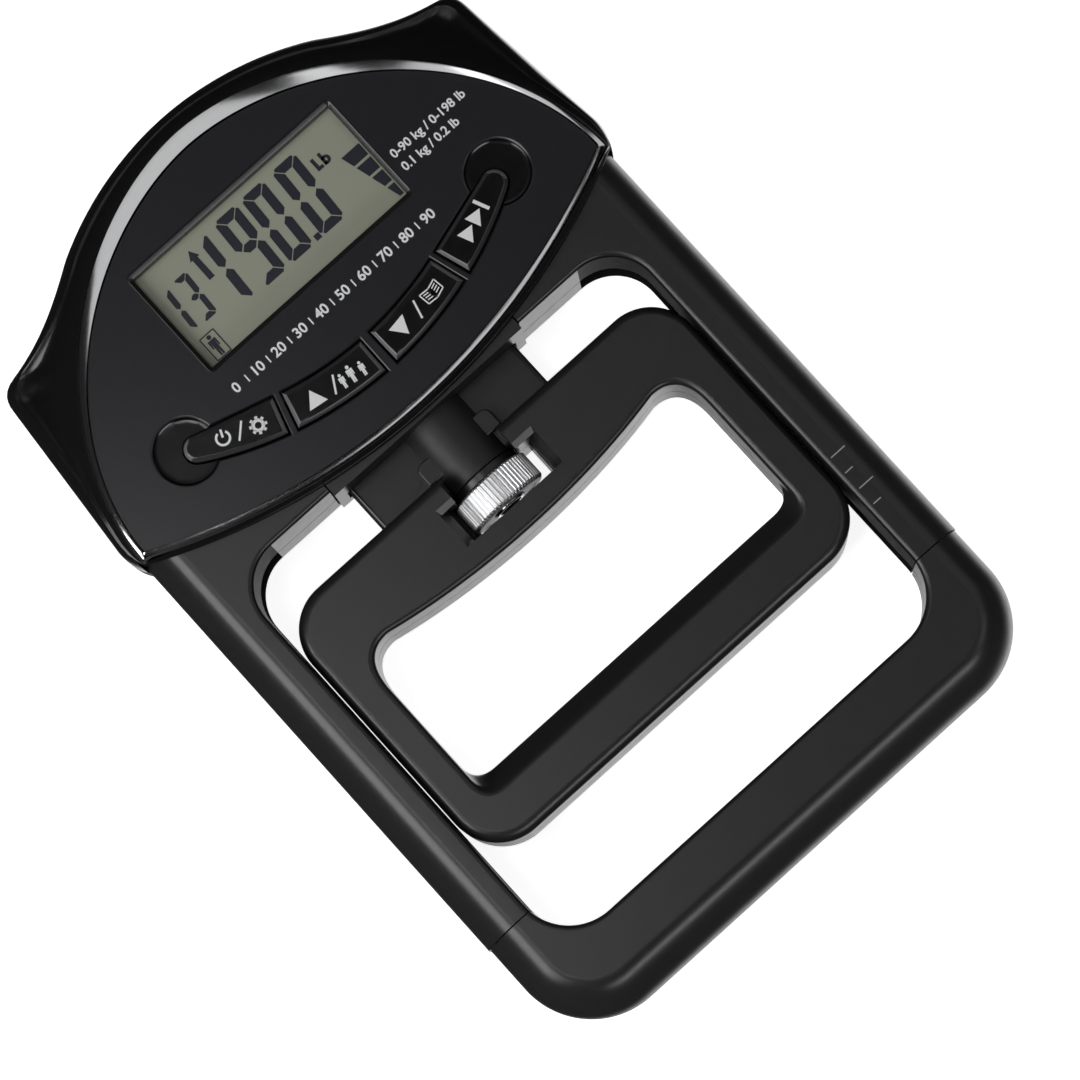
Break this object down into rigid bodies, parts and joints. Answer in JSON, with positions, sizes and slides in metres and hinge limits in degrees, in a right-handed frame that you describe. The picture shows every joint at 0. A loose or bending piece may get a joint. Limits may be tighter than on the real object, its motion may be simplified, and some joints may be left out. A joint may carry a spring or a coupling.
{
  "type": "electronic hand dynamometer",
  "caption": "Electronic hand grip dynamometer: display head on a rectangular frame, with an inner finger handle that a knurled wheel moves along a screw.",
  "frame": {"origin": "bottom centre of the bounding box: the middle of the flat back, on the surface that the meter lies on", "axes": "+X across the width, +Y along the length from the palm bar to the display head, +Z out of the display face"},
  "size_m": [0.1264, 0.191, 0.0277],
  "materials": {
    "satin_black": "satin moulded plastic",
    "gloss_black": "glossy moulded plastic",
    "face_black": "polished lens panel",
    "chrome": "polished",
    "steel": "zinc plated",
    "brass": "turned",
    "aluminium": "machined",
    "grey_trim": "satin",
    "lcd_glass": "reflective display glass",
    "board_green": "solder mask",
    "dark_rubber": "matte",
    "battery_wrap": "shrink film",
    "cable": "matte"
  },
  "bodies": {
    "frame": {"rear_housing": "satin_black", "frame_front_shell": "satin_black", "palm_grip_rear": "satin_black", "palm_grip_front": "satin_black", "neck_guide": "satin_black", "pull_neck": "satin_black", "head_front_cover": "gloss_black", "face_panel": "face_black", "chrome_bezel": "chrome", "load_cell_bracket": "steel", "anchor_bolt": "steel", "bracket_screw_left": "steel", "bracket_screw_right": "steel", "pull_stud": "steel", "battery_contact_left": "steel", "battery_contact_right": "steel", "housing_screw_1": "steel", "housing_screw_2": "steel", "housing_screw_3": "steel", "housing_screw_4": "steel", "rail_screw_1": "steel", "rail_screw_2": "steel", "palm_grip_screw_1": "steel", "palm_grip_screw_2": "steel", "thread_insert": "brass", "load_cell": "aluminium", "lcd_frame": "grey_trim", "lcd_display": "lcd_glass", "circuit_board": "board_green", "zebra_strip": "dark_rubber", "controller_chip": "dark_rubber", "power_switch": "dark_rubber", "up_switch": "dark_rubber", "down_switch": "dark_rubber", "start_switch": "dark_rubber", "battery_1": "battery_wrap", "battery_2": "battery_wrap", "load_cell_lead": "cable"},
    "handle": {"handle_rear_shell": "satin_black", "handle_front_shell": "satin_black", "thrust_washer": "dark_rubber", "handle_screw_1": "steel", "handle_screw_2": "steel", "handle_screw_3": "steel", "handle_screw_4": "steel"},
    "wheel": {"adjusting_wheel": "chrome", "adjusting_screw": "steel", "wheel_screw": "chrome"},
    "power_key": {"power_button": "gloss_black"},
    "up_key": {"up_button": "gloss_black"},
    "down_key": {"down_button": "gloss_black"},
    "start_key": {"start_button": "gloss_black"},
    "door": {"battery_door": "satin_black"}
  },
  "joints": [
    {"name": "handle_travel", "type": "slide", "parent": "frame", "child": "handle", "axis": [0, -1, 0], "range_m": [0, 0.012]},
    {"name": "wheel_turn", "type": "hinge", "parent": "handle", "child": "wheel", "pos_m": [0, -0.0042, 0.0125], "axis": [0, -1, 0], "range_deg": [0, 3457]},
    {"name": "power_press", "type": "slide", "parent": "frame", "child": "power_key", "axis": [0, 0, -1], "range_m": [0, 0.0008], "stiffness_N_per_m": 1500},
    {"name": "up_press", "type": "slide", "parent": "frame", "child": "up_key", "axis": [0, 0, -1], "range_m": [0, 0.0008], "stiffness_N_per_m": 1500},
    {"name": "down_press", "type": "slide", "parent": "frame", "child": "down_key", "axis": [0, 0, -1], "range_m": [0, 0.0008], "stiffness_N_per_m": 1500},
    {"name": "start_press", "type": "slide", "parent": "frame", "child": "start_key", "axis": [0, 0, -1], "range_m": [0, 0.0008], "stiffness_N_per_m": 1500},
    {"name": "door_swing", "type": "hinge", "parent": "frame", "child": "door", "pos_m": [0, 0.0787, 0.0003], "axis": [1, 0, 0], "range_deg": [0, 100]}
  ],
  "couplings": [
    {"joint": "wheel_turn", "follows": "handle_travel", "rad_per_m": 5026.5}
  ]
}
